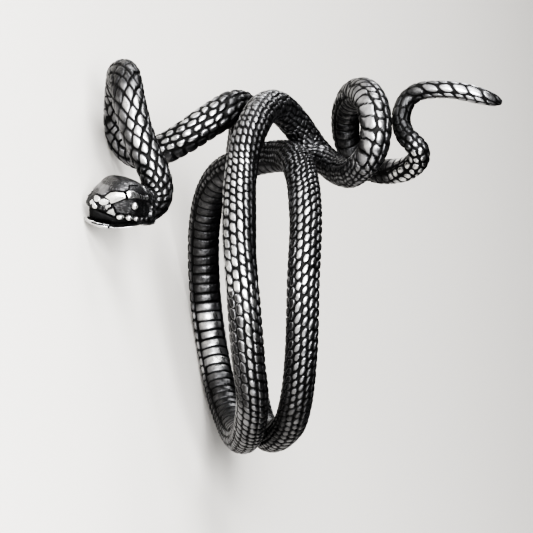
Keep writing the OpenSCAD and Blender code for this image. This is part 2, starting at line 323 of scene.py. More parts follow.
# %% The plain tube under the scales
IRREGULAR = [[10, 0.06], [12, 0.2], [21, 0.2], [24, 0.1], [90, 0.06], [95, 0.3], [107, 0.3],
             [112, 0.06], [164, 0.06], [168, 0.3], [182, 0.3], [185, 0.1], [190, 0.1], [193, 0.25],
             [200, 0.2], [203, 0.1], [221, 0.08]]
STRAY_SIZE = 1.3  # mm

phi = (np.arange(AROUND) + 0.5)[None, :] * 2 * math.pi / AROUND - math.pi
degrees = np.degrees(phi)
s = along[:, None]
straight_out = backs[:, None] * np.cos(phi)[:, :, None] + flanks[:, None] * np.sin(phi)[:, :, None]
surface = centres[:, None] + radii[:, None, None] * straight_out
# Rows that are cut by hand wander by up to a tenth of a scale in long waves. Single scales go
# astray by more in the places where the carver was less careful.
wander = 0.05 * np.sin(1.7 * s + 2.0 * np.sin(phi + 0.4)) + 0.04 * np.sin(0.9 * s - 3.0 * phi)
astray = along_body(IRREGULAR) * uneven(surface, STRAY_SIZE)
print(f"girth from {2 * radii.min():.2f} to {2 * radii.max():.2f} mm")

# %% Diamonds on the neck
# Length in mm, width in degrees and sharpness, and the gap, which holds for bricks as well.
DIAMOND_LENGTH = [[0, 0.75], [2, 0.95], [4, 1.2], [7, 1.35], [13, 1.4], [18, 1.3], [24, 1.1]]
DIAMOND_ANGLE = [[0, 32], [5, 45]]
DIAMOND_SHARPNESS = [[0, 3.0], [4, 3.4], [8, 5.0], [14, 5.0], [20, 4.0]]
GAP = [[0, 0.24], [4.5, 0.16], [7.5, 0.07], [21, 0.08], [24, 0.15], [31, 0.14], [38, 0], [72, 0],
       [80, 0.09], [92, 0.09], [95, 0.28], [107, 0.28], [112, 0.02], [140, 0], [146, 0.05],
       [160, 0.05], [165, 0.08], [175, 0.08], [180, 0.15], [183, 0.12], [185, 0.06], [191, 0.06],
       [203, 0.14], [208, 0.16], [211, 0.04], [215, 0.08], [221, 0.06]]

x = scales_passed(DIAMOND_LENGTH) + wander + astray
y = degrees / along_body(DIAMOND_ANGLE) + 0.6 * wander - astray
diamond = cell(x + y, x - y, along_body(DIAMOND_SHARPNESS), gap=along_body(GAP))
print("rows of diamonds in the first 24 mm:", round(float(x[round(24 / STEP)].mean())))

# %% [markdown]
# ## Bricks from the arch to the tip
#
# Each brick has its column and its place in the column. The columns stand beside each other
# with a stagger, so their ends make slanting lines round the body. On the tail's loop and on
# its tip one column is of wide plates, and the others share what is left. On the outside of a
# tight bend the carver fits in more scales than on its inside.

# %% Sizes of the bricks
# Length in mm and width in degrees.
BRICK_LENGTH = [[30, 0.84], [34, 0.82], [64, 0.78], [70, 0.64], [78, 0.64], [84, 0.71],
                [90.5, 0.66], [93, 0.5], [96, 0.42], [107, 0.42], [112, 0.6], [118, 0.8],
                [132, 0.6], [142, 0.6], [148, 0.78], [157, 0.8], [163, 0.56], [168, 0.5],
                [172, 0.5], [183, 0.46], [185.5, 0.92], [188, 0.92], [191, 0.72], [194, 0.5],
                [199, 0.7], [203, 0.7], [209, 0.66], [213, 1.15]]
BRICK_ANGLE = [[90, 27.5], [96, 21], [106, 21], [114, 27.5], [138, 27.5], [144, 29.5], [157, 29],
               [163, 24], [183, 22], [185.5, 46], [191, 46], [199, 36], [202, 44], [207, 42],
               [221, 41]]
# How many bricks each column sits ahead of the next, how much a brick's own ends slant, its
# sharpness, and how much its sides lean.
BRICK_STAGGER = [[28, 0.5], [40, -0.1], [110, -0.15], [140, 0], [146, 0.15], [150, 0.3],
                 [160, 0.35], [164, 0.5], [183, 0.5], [186, 0.95], [191, 0.95], [196, 0.5]]
BRICK_SLANT = [[28, 0.25], [40, -0.2], [95, -0.2], [110, 0.1], [136, 0.3], [142, 0.35], [163, 0.35],
               [170, 0.1], [182, 0.1], [185, 0.3], [188, 0.4], [191, 0.35], [196, 0.1], [210, 0],
               [214, -0.6]]
BRICK_SHARPNESS = [[40, 2.8], [80, 2.2], [94, 2.2], [110, 2.8], [183, 2.8], [186, 4], [191, 4],
                   [203, 2.8]]
BRICK_LEAN = [[72, 0], [80, 0.25], [92, 0.25], [98, 0]]

# %% Columns of bricks
# Where the columns of the loop and of the tip hold, where the loop's wide plates end, in
# degrees, and then rows of [degrees, columns passed]: from that end on the loop, from the
# middle of the back on the tip.
ON_LOOP = [[183, 0], [185, 1], [191, 1], [194, 0]]
ON_TIP = [[210, 0], [213, 1]]
WIDE_PLATES_EDGE = [[0, -18], [186, -19], [187, -24], [188, -29], [189, -39], [190, -51],
                    [191, -70]]
LOOP_COLUMNS = [[-232, -5.5], [-112, -2.5], [-72, -1.5], [0, -0.5], [38, 0.5], [76, 1.5],
                [114, 2.5], [234, 5.5]]
TIP_COLUMNS = [[-340, -7.5], [-140, -3.5], [-20, -0.5], [20, 0.5], [94, 1.5], [132, 2.5],
               [176, 3.5], [336, 7.5]]

on_loop, on_tip, plates_edge = map(along_body, (ON_LOOP, ON_TIP, WIDE_PLATES_EDGE))
loop_angles, loop_columns = np.array(LOOP_COLUMNS).T
tip_angles, tip_columns = np.array(TIP_COLUMNS).T
y = (degrees / along_body(BRICK_ANGLE) * (1 - on_loop - on_tip)
     + on_loop * np.interp(degrees - plates_edge, loop_angles, loop_columns)
     + on_tip * np.interp(degrees, tip_angles, tip_columns)
     + 0.5 * wander + astray)
column = np.floor(y + 0.5)
print("most columns beside the back:", int(np.abs(column).max()))

# %% Bricks within the columns
FOLLOWS_BENDS = [[20, 0], [24, 0.6], [31, 0.6], [36, 0], [163, 0], [167, 1]]
MOST = 12  # columns counted to each side of the back
LOOP_PLATES, TIP_PLATES = -1, 1  # the columns of wide plates
SHORTER = 0.4  # how much shorter the tip's narrow scales are than its wide plates
FINER = 0.8  # how much finer the grooves along the loop's wide plates are
COLUMN_LUCK = 0.1  # how far a column is off its stagger, in bricks

columns = np.arange(-MOST, MOST + 1)
middles = np.radians(columns * along_body(BRICK_ANGLE) * (1 - on_loop - on_tip)
                     + on_loop * (np.interp(columns, loop_columns, loop_angles) + plates_edge)
                     + on_tip * np.interp(columns, tip_columns, tip_angles))
bend = np.gradient(aims, along, axis=0)
stretch = 1 - along_body(FOLLOWS_BENDS) * radii[:, None] * (
    np.sum(bend * backs, 1, keepdims=True) * np.cos(middles)
    + np.sum(bend * flanks, 1, keepdims=True) * np.sin(middles))
stretch *= 1 + SHORTER * on_tip * (columns != TIP_PLATES)
passed = np.cumsum(stretch * np.gradient(along)[:, None] / along_body(BRICK_LENGTH), axis=0)
x = (np.take_along_axis(passed, np.clip(column, -MOST, MOST).astype(int) + MOST, axis=1)
     + wander + 1.2 * astray)
brick = cell(x + along_body(BRICK_STAGGER) * column + along_body(BRICK_SLANT) * (y - column)
             + COLUMN_LUCK * luck(column, 7.0), y + 0.5, along_body(BRICK_SHARPNESS),
             along_body(BRICK_LEAN), along_body(GAP), 1 + FINER * on_loop * (column == LOOP_PLATES))
print("bricks along the middle of the back:", round(float(np.ptp(passed[along > 24, MOST]))))

# %% [markdown]
# ## Belly plates
#
# On its belly a snake has one row of plates, as wide as the belly, that it crawls on. They show
# on the inside of the hoops. Round the neck loop and on the strand before the tail's loop the
# scales go all the way round, so the belly is narrowed there until nothing of it is left. A
# plate is a cell like the others, as wide as the belly and with sharper corners.

# %% Plates of the belly
# Half the width of the belly in degrees; 1 stands for none.
BELLY_ANGLE = [[0, 62], [3, 50], [5, 1], [22, 1], [26, 55], [33, 62], [160, 62], [163.5, 1],
               [184, 1], [190, 62]]
BELLY_LENGTH = 0.8  # mm
BELLY_SHARPNESS = 7.0
BELLY_GAP = 0.06

to_belly = (math.pi - np.abs(phi)) / np.radians(along_body(BELLY_ANGLE))
plate = cell(s / BELLY_LENGTH + 0.5 * wander, 0.5 + 0.5 * to_belly, BELLY_SHARPNESS, gap=BELLY_GAP)
print(f"share of the skin under belly plates: {(to_belly < 1).mean():.2f}")

# %% [markdown]
# ## Relief of the body
#
# A graver cuts each groove as a steep-sided valley and leaves the scale as a low dome. The
# grooves are 0.13 mm deep on the full girth. On two strands they are partly filled, so they are
# shallower there and catch the cloth. Where the skin was hardly rubbed it still has the fine
# wrinkles of the casting. All of it is real height in the mesh, because a bump map would leave
# the outline of the coils smooth.

# %% From patterns to scales
BRICK_SHARE = [[22, 0], [24, 1]]
BELLY_GROOVE = 0.12  # the groove beside the belly, as a share of half the belly's width
PLATE_TILT = 0.3  # belly plates tilt less than scales

share = along_body(BRICK_SHARE)
on_belly = to_belly < 1
beside_belly = np.clip(1 - np.abs(to_belly - 1) / BELLY_GROOVE, 0, 1)
edge = np.where(on_belly, plate[0], np.maximum(mixed(diamond[0], brick[0], share), beside_belly))
tilt = np.where(on_belly, PLATE_TILT * plate[1], mixed(diamond[1], brick[1], share))
chance = np.where(on_belly, plate[2], np.where(share > 0.5, brick[2], diamond[2]))
print(f"mean place within a scale: {edge.mean():.2f}")

# %% Grooves and domes
RELIEF = 0.13  # mm
GROOVE_SIDE = 0.15  # the side of a groove, as a share of half a scale
SCALE_TILT = 0.045  # mm
# How domed a scale is, from 0 for flat to 1, and how far the grooves are filled.
DOME = [[30, 0.5], [36, 0.44], [160, 0.44], [183, 0.4], [221, 0.42]]
GROOVES_FILLED = [[96, 0], [99, 0.3], [106, 0.3], [110, 0], [164, 0], [168, 0.7], [182, 0.7],
                  [185, 0]]
SHALLOWER = 0.35  # how much shallower a groove is where it is filled

top = eased((1 - edge) / GROOVE_SIDE)
filled = along_body(GROOVES_FILLED)
height = -RELIEF * (1 - SHALLOWER * filled) * (1 - top + along_body(DOME) * (top - 1 + edge**2))
height += SCALE_TILT * tilt * top
print(f"share of the skin on scale tops: {top.mean():.2f}")

# %% [markdown]
# ## Where the cloth reached, and painted light and shade
#
# A polishing cloth rides over whatever stands out, and a table says how well each stretch was
# rubbed. The same table also paints shade and highlights along the body. The flanks of the hoops
# that face each other are painted darker as shade, and so are the sides of the neck and one side
# of the tail's loop. On two of the flanks the tops are hollow, and their dark middles and bright
# rims are a painted reflection. Painting these places by hand would work too, but tables along
# the body can be changed one number at a time.

# %% How well the tops are rubbed, and painted light and shade
# Besides the rubbing, this table paints light and shade along the body: its dips stand in for
# shade, as inside the tail's loop and on its riser, and its highest values paint highlights.
RUBBED_AND_PAINTED_LIGHT = [[0, 0.78], [3, 0.9], [5, 1.06], [8.9, 1.06], [10.8, 0.76], [13.5, 0.72], [17, 0.92],
          [21, 0.94], [25, 1.04], [29, 1.04], [31, 0.72], [35, 0.7], [38, 0.85], [42, 0.95],
          [62, 0.9], [68, 0.8], [74, 0.8], [80, 0.94], [86, 1.06], [93, 1.0], [95.5, 0.9],
          [99, 0.8], [106, 0.8], [112, 0.76], [118.5, 0.78], [120.5, 1.06], [124.5, 1.06],
          [127, 0.76], [131, 0.74], [135, 0.84], [139, 0.84], [146, 0.98], [150, 1.08], [162, 1.04],
          [165, 0.9], [167, 0.88], [171, 0.94], [176, 0.88], [179, 0.8], [181.5, 0.82],
          [183.5, 0.92], [185.5, 1.0], [188.8, 0.98], [190.2, 0.8], [191.5, 0.76], [198, 0.74],
          [203.4, 0.66], [205, 1.14], [207.8, 1.14], [209.2, 0.66], [212.8, 0.6], [215, 0.98],
          [221, 1.02]]
# The flank painted dark as shade, 1 for the snake's left and -1 for its right, and the
# degrees it starts at.
PAINTED_SHADE_FLANK = [[22, 0], [24, 1], [30, 1], [34, 0], [68, 0], [74, -1], [93, -1], [97, 0], [143, 0],
              [145, -1.2], [151, -1.2], [154, 1.2], [163, 1.4], [167, 0], [184, 0], [185, -1.6],
              [191, -1.6], [193, 0]]
DARK_FROM = [[22, 26], [24, 122], [26, 118], [29, 92], [31, 92], [34, 26], [136, 26], [145, 14],
             [163, 18], [180, 40], [184, 60], [186, 68], [188, 76], [190, 96], [191, 118],
             [193, 118], [221, 26]]
DARK_RAMP, PAINTED_FLANK_SHADE = 26, 0.26  # degrees from light to dark, and how much the painted shade darkens a flank
# The sides of the neck are painted darker as shade, beside a bright face in the middle.
NECK_SIDE_SHADE = [[0, 0], [2, 0.24], [11, 0.24], [13, 0]]
NECK_FACE, NECK_HALF, NECK_RAMP = 14, 36, 20  # degrees: the bright face's middle, half, ramp

# Mask of the painted shade on the flanks that face each other.
painted_shade_flank = along_body(PAINTED_SHADE_FLANK)
on_flank = eased((degrees * np.sign(painted_shade_flank) - along_body(DARK_FROM)) / DARK_RAMP)
neck_side = eased((np.abs(degrees - NECK_FACE) - NECK_HALF) / NECK_RAMP)

# %% Hollow tops and wrinkles
# The hollow in the tops is real shape. Their darker middles and brighter rims are a painted
# reflection.
HOLLOW_WITH_PAINTED_RIMS = [[74, 0], [78, 1], [89, 1], [92, 0], [143, 0], [145.5, 1], [152, 1], [154, 0]]
HOLLOW_DEPTH = 0.03  # mm
MIDDLE = 0.5  # how far the middle of a scale reaches to its edge
HOLLOW_LIGHTER = 0.7  # how much of the flank's painted shade is gone where the tops are hollow
WRINKLE_SIZE, WRINKLE_HEIGHT = 0.3, 0.026  # mm
SMOOTH_RUB, ROUGH_RUB = 0.9, 0.7  # rubbed this well there are no wrinkles, and this little, all
SURFACE = 0.02  # mm that the tops stay under the skin of the plain tube

in_middle = eased((1 - edge) / MIDDLE)
hollow = along_body(HOLLOW_WITH_PAINTED_RIMS) * on_flank
height -= HOLLOW_DEPTH * hollow * in_middle
# How bright a top is: the rubbing, with the table's painted light and shade, less painted shade on
# the flanks that face each other and on the sides of the neck.
rubbed_and_painted_light = along_body(RUBBED_AND_PAINTED_LIGHT) * (
    1 - PAINTED_FLANK_SHADE * np.abs(painted_shade_flank) * on_flank * (1 - HOLLOW_LIGHTER * along_body(HOLLOW_WITH_PAINTED_RIMS))
    - along_body(NECK_SIDE_SHADE) * neck_side)
wrinkled = np.clip((SMOOTH_RUB - rubbed_and_painted_light) / (SMOOTH_RUB - ROUGH_RUB), 0, 1)
height += WRINKLE_HEIGHT * wrinkled * uneven(surface, WRINKLE_SIZE)
height = np.minimum(height, 0) - SURFACE
skin = surface + (radii[:, None] * height / (BODY_D / 2))[:, :, None] * straight_out
print("relief from", round(float(height.min()), 3), "to", round(float(height.max()), 3), "mm")

# %% [markdown]
# ## Oxidised sterling silver
#
# Sterling silver that was blackened in sulphide and then rubbed with a polishing cloth. The eye
# sees bright, slightly warm grey tops with fine scratches, and grooves that stay matt and nearly
# black. The mesh carries two numbers for each point: how far it stands out of its groove and how
# well it is rubbed, with painted shade and painted highlights on the body, and the chance value
# of its scale. The nodes turn them into colour and roughness. The metal keeps Blender's default
# IOR. No texture is wrapped on, so nothing stretches on the bends.

# %% Helpers for materials
def linear(hex_colour):
    """An sRGB hex colour as the linear RGBA that Blender works in."""
    parts = [int(hex_colour[i:i + 2], 16) / 255 for i in (1, 3, 5)]
    return [c / 12.92 if c <= 0.04045 else ((c + 0.055) / 1.055) ** 2.4 for c in parts] + [1]


def add_node(tree, kind, settings=None, **inputs):
    """A node with its settings and inputs: a value for a socket, or the socket it is linked to."""
    node = tree.nodes.new(kind)
    for name, value in (settings or {}).items():
        setattr(node, name, value)
    for name, value in inputs.items():
        wanted = name.replace("_", " ")
        if wanted[:2] == "in" and wanted[2:].isdigit():
            key = int(wanted[2:])
        else:
            key = next(i for i, k in enumerate(node.inputs) if k.name == wanted and k.enabled)
        if isinstance(value, bpy.types.NodeSocket):
            tree.links.new(value, node.inputs[key])
        else:
            node.inputs[key].default_value = value
    return node


# %% Colour of the silver
# From the bottom of a groove to a fully rubbed top.
STOPS = [(0.0, "#1e1e1e"), (0.40, "#2b2b2c"), (0.62, "#3e3e3f"), (0.84, "#88888a"),
         (1.0, "#d8d8d6")]
BLOTCH = 0.625  # mm from one more or less worn spot to the next
BLOTCHY = 0.3  # how much the wear differs
SCALE_TONES = (0.72, 1.1)  # the dullest and the brightest scale

silver = bpy.data.materials.new("oxidised_sterling_silver_rubbed")
silver.use_nodes = True
tree = silver.node_tree
tree.nodes.clear()
# The tone from the mesh: how far a point stands out and how well it is rubbed, with painted light
# and shade on the body.
stands_out_and_painted_light = add_node(tree, "ShaderNodeAttribute", {"attribute_name": "stands_out_and_painted_light"}).outputs["Fac"]
chance_of = add_node(tree, "ShaderNodeAttribute", {"attribute_name": "chance"}).outputs["Fac"]
place_of = add_node(tree, "ShaderNodeTexCoord").outputs["Object"]
blotches = add_node(tree, "ShaderNodeTexNoise", None, Vector=place_of, Scale=1 / (BLOTCH * MM),
                    Detail=4.0)
worn = add_node(tree, "ShaderNodeMath", {"operation": "MULTIPLY_ADD"}, in0=blotches.outputs["Fac"],
                in1=BLOTCHY, in2=-BLOTCHY / 2)
# Random wear added to the tone from the mesh, which carries the painted light and shade.
wear_and_painted_light = add_node(tree, "ShaderNodeMath", {"operation": "ADD", "use_clamp": True},
                  in0=stands_out_and_painted_light, in1=worn.outputs[0])
ramp = add_node(tree, "ShaderNodeValToRGB", None, Fac=wear_and_painted_light.outputs[0])
stops = ramp.color_ramp.elements
for i, (stop, colour) in enumerate(STOPS):
    element = stops[i] if i < 2 else stops.new(stop)
    element.position = stop
    element.color = linear(colour)
dulled = add_node(tree, "ShaderNodeMapRange", None, Value=chance_of, To_Min=SCALE_TONES[0],
                  To_Max=SCALE_TONES[1])
tone = add_node(tree, "ShaderNodeVectorMath", {"operation": "SCALE"},
                in0=ramp.outputs["Color"], Scale=dulled.outputs[0])
print("nodes for the colour of the silver:", len(tree.nodes))

# %% Roughness and bump of the silver
# A polishing cloth leaves scratches of about a hundredth of a millimetre. The picture has 13
# pixels to the millimetre, so they are drawn ten times as coarse. The dents are the tool's.
SCRATCH = (1 / 0.9, 1 / 9, 0.4)  # mm along X, Y and Z
DENT = 0.2  # mm
BUMP_DEPTH = 0.02  # mm
ROUGH_GROOVE, ROUGH_TOP = 0.62, (0.2, 0.34)

scratches = add_node(tree, "ShaderNodeTexNoise", None, Vector=add_node(
    tree, "ShaderNodeMapping", None, Vector=place_of,
    Scale=tuple(1 / (size * MM) for size in SCRATCH)).outputs[0], Scale=1.0, Detail=3.0)
rough_top = add_node(tree, "ShaderNodeMapRange", None, Value=scratches.outputs["Fac"],
                     From_Min=0.3, From_Max=0.7, To_Min=ROUGH_TOP[0], To_Max=ROUGH_TOP[1])
rough = add_node(tree, "ShaderNodeMapRange", None, Value=wear_and_painted_light.outputs[0],
                 To_Min=ROUGH_GROOVE, To_Max=rough_top.outputs[0])
dents = add_node(tree, "ShaderNodeTexNoise", None, Vector=place_of, Scale=1 / (DENT * MM),
                 Detail=2.0)
uneven_top = add_node(tree, "ShaderNodeBump", None, Strength=0.35, Distance=BUMP_DEPTH * MM,
                      Height=dents.outputs["Fac"])
grain = add_node(tree, "ShaderNodeBump", None, Strength=0.1, Distance=BUMP_DEPTH * MM,
                 Height=scratches.outputs["Fac"], Normal=uneven_top.outputs[0])
shader = add_node(tree, "ShaderNodeBsdfPrincipled", None, Base_Color=tone.outputs[0],
                  Metallic=1.0, Roughness=rough.outputs[0], Normal=grain.outputs[0])
add_node(tree, "ShaderNodeOutputMaterial", None, Surface=shader.outputs[0])
print("nodes in the silver:", len(tree.nodes))

# %% [markdown]
# ## Meshes from grids of points
#
# Each stretch of the body is one grid of points, closed round the tube. Writing the arrays
# straight into the mesh is quick, where adding faces one at a time would take minutes. All
# stretches take their normals from the one whole grid, so no seam shows where two of them meet.

# %% Grid meshes
def grid_normals(grid):
    """Normals of a grid of points that is closed across its second direction."""
    ahead = np.gradient(grid, axis=0)
    round_it = np.roll(grid, -1, 1) - np.roll(grid, 1, 1)
    return unit(np.cross(round_it, ahead))


def grid_piece(name, grid, normals, values, caps=()):
    """A piece from a grid in upright millimetres; caps lists the ends that a point closes."""
    rings, n = grid.shape[:2]
    points = [grid.reshape(-1, 3)]
    outs = [normals.reshape(-1, 3)]
    data = {key: [v.reshape(-1)] for key, v in values.items()}
    i, j = np.meshgrid(np.arange(rings - 1), np.arange(n), indexing="ij")
    a, b = i * n + j, i * n + (j + 1) % n
    faces = np.stack([a, b, b + n, a + n], -1).reshape(-1, 4)
    corners = [faces.reshape(-1)]
    sizes = [np.full(len(faces), 4)]
    for k, cap in enumerate(caps):
        ring = np.arange(n) + (rings - 1) * n * cap
        middle = rings * n + k
        end, next_in = (-1, -2) if cap else (0, 1)
        points.append(grid[end].mean(0)[None])
        outs.append(unit(grid[end].mean(0) - grid[next_in].mean(0))[None])
        for key, v in values.items():
            data[key].append(np.array([v[end].mean()]))
        third = np.full(n, middle)
        nxt = np.roll(ring, -1)
        fan = np.stack([ring, nxt, third] if cap else [nxt, ring, third], -1)
        corners.append(fan.reshape(-1))
        sizes.append(np.full(n, 3))
    points, corners, sizes = np.concatenate(points), np.concatenate(corners), np.concatenate(sizes)
    mesh = bpy.data.meshes.new(name)
    mesh.vertices.add(len(points))
    mesh.vertices.foreach_set("co", laid(points).astype(np.float32).ravel())
    mesh.loops.add(len(corners))
    mesh.loops.foreach_set("vertex_index", corners.astype(np.int32))
    mesh.polygons.add(len(sizes))
    starts = np.concatenate([[0], np.cumsum(sizes)[:-1]])
    mesh.polygons.foreach_set("loop_start", starts.astype(np.int32))
    for key, v in data.items():
        layer = mesh.attributes.new(key, "FLOAT", "POINT")
        layer.data.foreach_set("value", np.concatenate(v).astype(np.float32))
    mesh.update(calc_edges=True)
    mesh.polygons.foreach_set("use_smooth", np.ones(len(sizes), bool))
    mesh.normals_split_custom_set_from_vertices(np.concatenate(outs) @ LAY_DOWN.T)
    mesh.materials.append(silver)
    piece = bpy.data.objects.new(name, mesh)
    bpy.context.scene.collection.objects.link(piece)
    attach(piece, "root")
    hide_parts("snake")
    print(f"{name}: {len(points)} points, {int(np.sum(sizes - 2))} triangles")


# %% Stretches of the body
# The cloth rides on the middle of each scale and leaves its border darker. Where the tops are
# hollow, their bright rims and dark middles are a painted reflection. Each pair gives the tone
# of a border and of a middle.
FLAT_TOPS, PAINTED_RIMS_OF_HOLLOW_TOPS = (0.84, 1.0), (1.14, 0.56)
FULL_RUB = 0.86  # what the material gets for a fully rubbed top
# The first and the last row of the route in each stretch.
STRETCHES = {"neck": (0, 14), "first_arch": (14, 24), "first_hoop_back": (24, 31),
             "first_hoop_front": (31, 38), "second_hoop_back": (38, 44),
             "second_hoop_front": (44, 50), "second_arch": (50, 60), "tail": (60, None)}
ENDS = {"neck": (0,), "tail": (1,)}  # 0 closes the first ring of a stretch, 1 its last

skin_normals = grid_normals(skin)
# The tone of the body: how far a point stands out and how well it is rubbed, with painted light and
# shade and the painted rims of the hollow tops.
cloth_and_painted_rims = mixed(mixed(*FLAT_TOPS, in_middle), mixed(*PAINTED_RIMS_OF_HOLLOW_TOPS, in_middle), hollow)
body_values = {"stands_out_and_painted_light": FULL_RUB * rubbed_and_painted_light * cloth_and_painted_rims * mixed(top, 1, filled),
               "chance": chance}
for name, (first_row, last_row) in STRETCHES.items():
    first = int(np.argmax(row_at >= first_row))
    last = len(along) - 1 if last_row is None else int(np.argmax(row_at >= last_row))
    cut = slice(first, last + 1)
    grid_piece(name, skin[cut], skin_normals[cut], {k: v[cut] for k, v in body_values.items()},
               caps=ENDS.get(name, ()))

# %% [markdown]
# ## The head
#
# A flattened wedge with its mouth open, cast in one with the neck. The skull and the lower jaw
# are each lofted through sections along the head. A row says how far ahead of the nape a
# section is, half its width, its top and its bottom, as shares of the head's length, width and
# height. Sculpting would give the same shape, but a loft keeps clean rings of points that the
# plates can be cut into. A third loft fills the inside of the open mouth, where neither the
# cloth nor much light gets in.

# %% Sections of the head
HEAD_L, HEAD_W, HEAD_H = 5.0, 4.2, 3.4
SKULL = np.array([
    [-0.05, 0.26, 0.36, -0.38], [0.10, 0.38, 0.55, -0.38], [0.25, 0.47, 0.67, -0.31],
    [0.38, 0.50, 0.73, -0.22], [0.50, 0.48, 0.75, -0.17], [0.60, 0.43, 0.71, -0.13],
    [0.70, 0.37, 0.60, -0.06], [0.80, 0.30, 0.49, 0.02], [0.88, 0.23, 0.38, 0.08],
    [0.92, 0.17, 0.30, 0.12], [0.94, 0.09, 0.24, 0.15],
])
JAW = np.array([
    [0.10, 0.30, -0.16, -0.33], [0.30, 0.41, -0.19, -0.29], [0.50, 0.39, -0.21, -0.31],
    [0.65, 0.34, -0.19, -0.33], [0.80, 0.27, -0.14, -0.29], [0.90, 0.17, -0.10, -0.23],
    [0.955, 0.07, -0.09, -0.17],
])
MOUTH = np.array([
    [0.30, 0.34, 0.10, -0.26], [0.50, 0.27, 0.04, -0.26], [0.65, 0.21, 0.08, -0.24],
    [0.80, 0.14, 0.14, -0.20], [0.87, 0.09, 0.16, -0.15], [0.90, 0.04, 0.16, -0.12],
])
NAPE = place(ROUTE[1:2])[0]
HEAD_TURN = turned("Z", 180 + 11)
SIDES, TOPS = 0.75, 0.8  # powers below 1 make a section squarer than an ellipse


def signed_power(v, p):
    return np.sign(v) * np.abs(v) ** p


def head_grid(table, rings, around):
    """Points of a lofted part of the head, in its own millimetres: forward, near side, up."""
    row = smooth_rows(table, np.linspace(0, len(table) - 1, rings))[:, :, None]
    a = np.linspace(0, 2 * math.pi, around, endpoint=False)[None, :]
    wide = HEAD_W * row[:, 1] * signed_power(np.cos(a), SIDES)
    high = HEAD_H * ((row[:, 2] + row[:, 3]) / 2
                     + (row[:, 2] - row[:, 3]) / 2 * signed_power(np.sin(a), TOPS))
    return np.stack([HEAD_L * row[:, 0] + 0 * a, wide, high], -1)


print("nape at, upright mm:", np.round(NAPE, 2))

# %% [markdown]
# ## The drawing of the head
#
# A carver draws the plates, ridges and hollows on one side of the wax, cuts them, and cuts the
# other side as its mirror image. The drawing here is flat, in millimetres ahead of the nape and
# above it, as the head shows to somebody who looks at the ring from its front. Each shape of
# the drawing raises or sinks the skin under it, with a soft edge, and says how bright that skin
# is rubbed, from 0 for black to 1 for a full polish.

# %% From a point of the head to the drawing
HEAD_MIDDLE = np.array([2.4, 0, 0.6])  # in the head's millimetres
MIRROR = np.array([1, -1, 1])
to_eye = (CAMERA_RIGHT * LOOK_AT[0] + CAMERA_UP * LOOK_AT[1] + CAMERA_BACK * VIEW_DISTANCE
          - NAPE - HEAD_TURN @ HEAD_MIDDLE)


def drawn(local):
    """Where points of the head fall on the drawing; the far side falls where the near one does."""
    near = np.where(local[..., 1:2] < 0, local * MIRROR, local) @ HEAD_TURN.T
    slid = near - to_eye * (near @ CAMERA_BACK / (to_eye @ CAMERA_BACK))[..., None]
    return np.stack([-(slid @ CAMERA_RIGHT), slid @ CAMERA_UP], -1)


def from_line(at, corners, closed=True):
    """Distance in mm from drawn points to a line through corners, below 0 inside a closed one."""
    ends = corners[1:] + corners[:1]
    nearest = np.full(at.shape[:-1], np.inf)
    inside = np.zeros(at.shape[:-1], bool)
    for (ax, ay), (bx, by) in list(zip(corners, ends))[:len(corners) if closed else -1]:
        x, y = at[..., 0] - ax, at[..., 1] - ay
        t = np.clip((x * (bx - ax) + y * (by - ay)) / ((bx - ax) ** 2 + (by - ay) ** 2), 0, 1)
        nearest = np.minimum(nearest, np.hypot(x - t * (bx - ax), y - t * (by - ay)))
        if closed and ay != by:
            inside ^= ((y < 0) != (at[..., 1] < by)) & (x < y * (bx - ax) / (by - ay))
    return np.where(inside, -nearest, nearest)


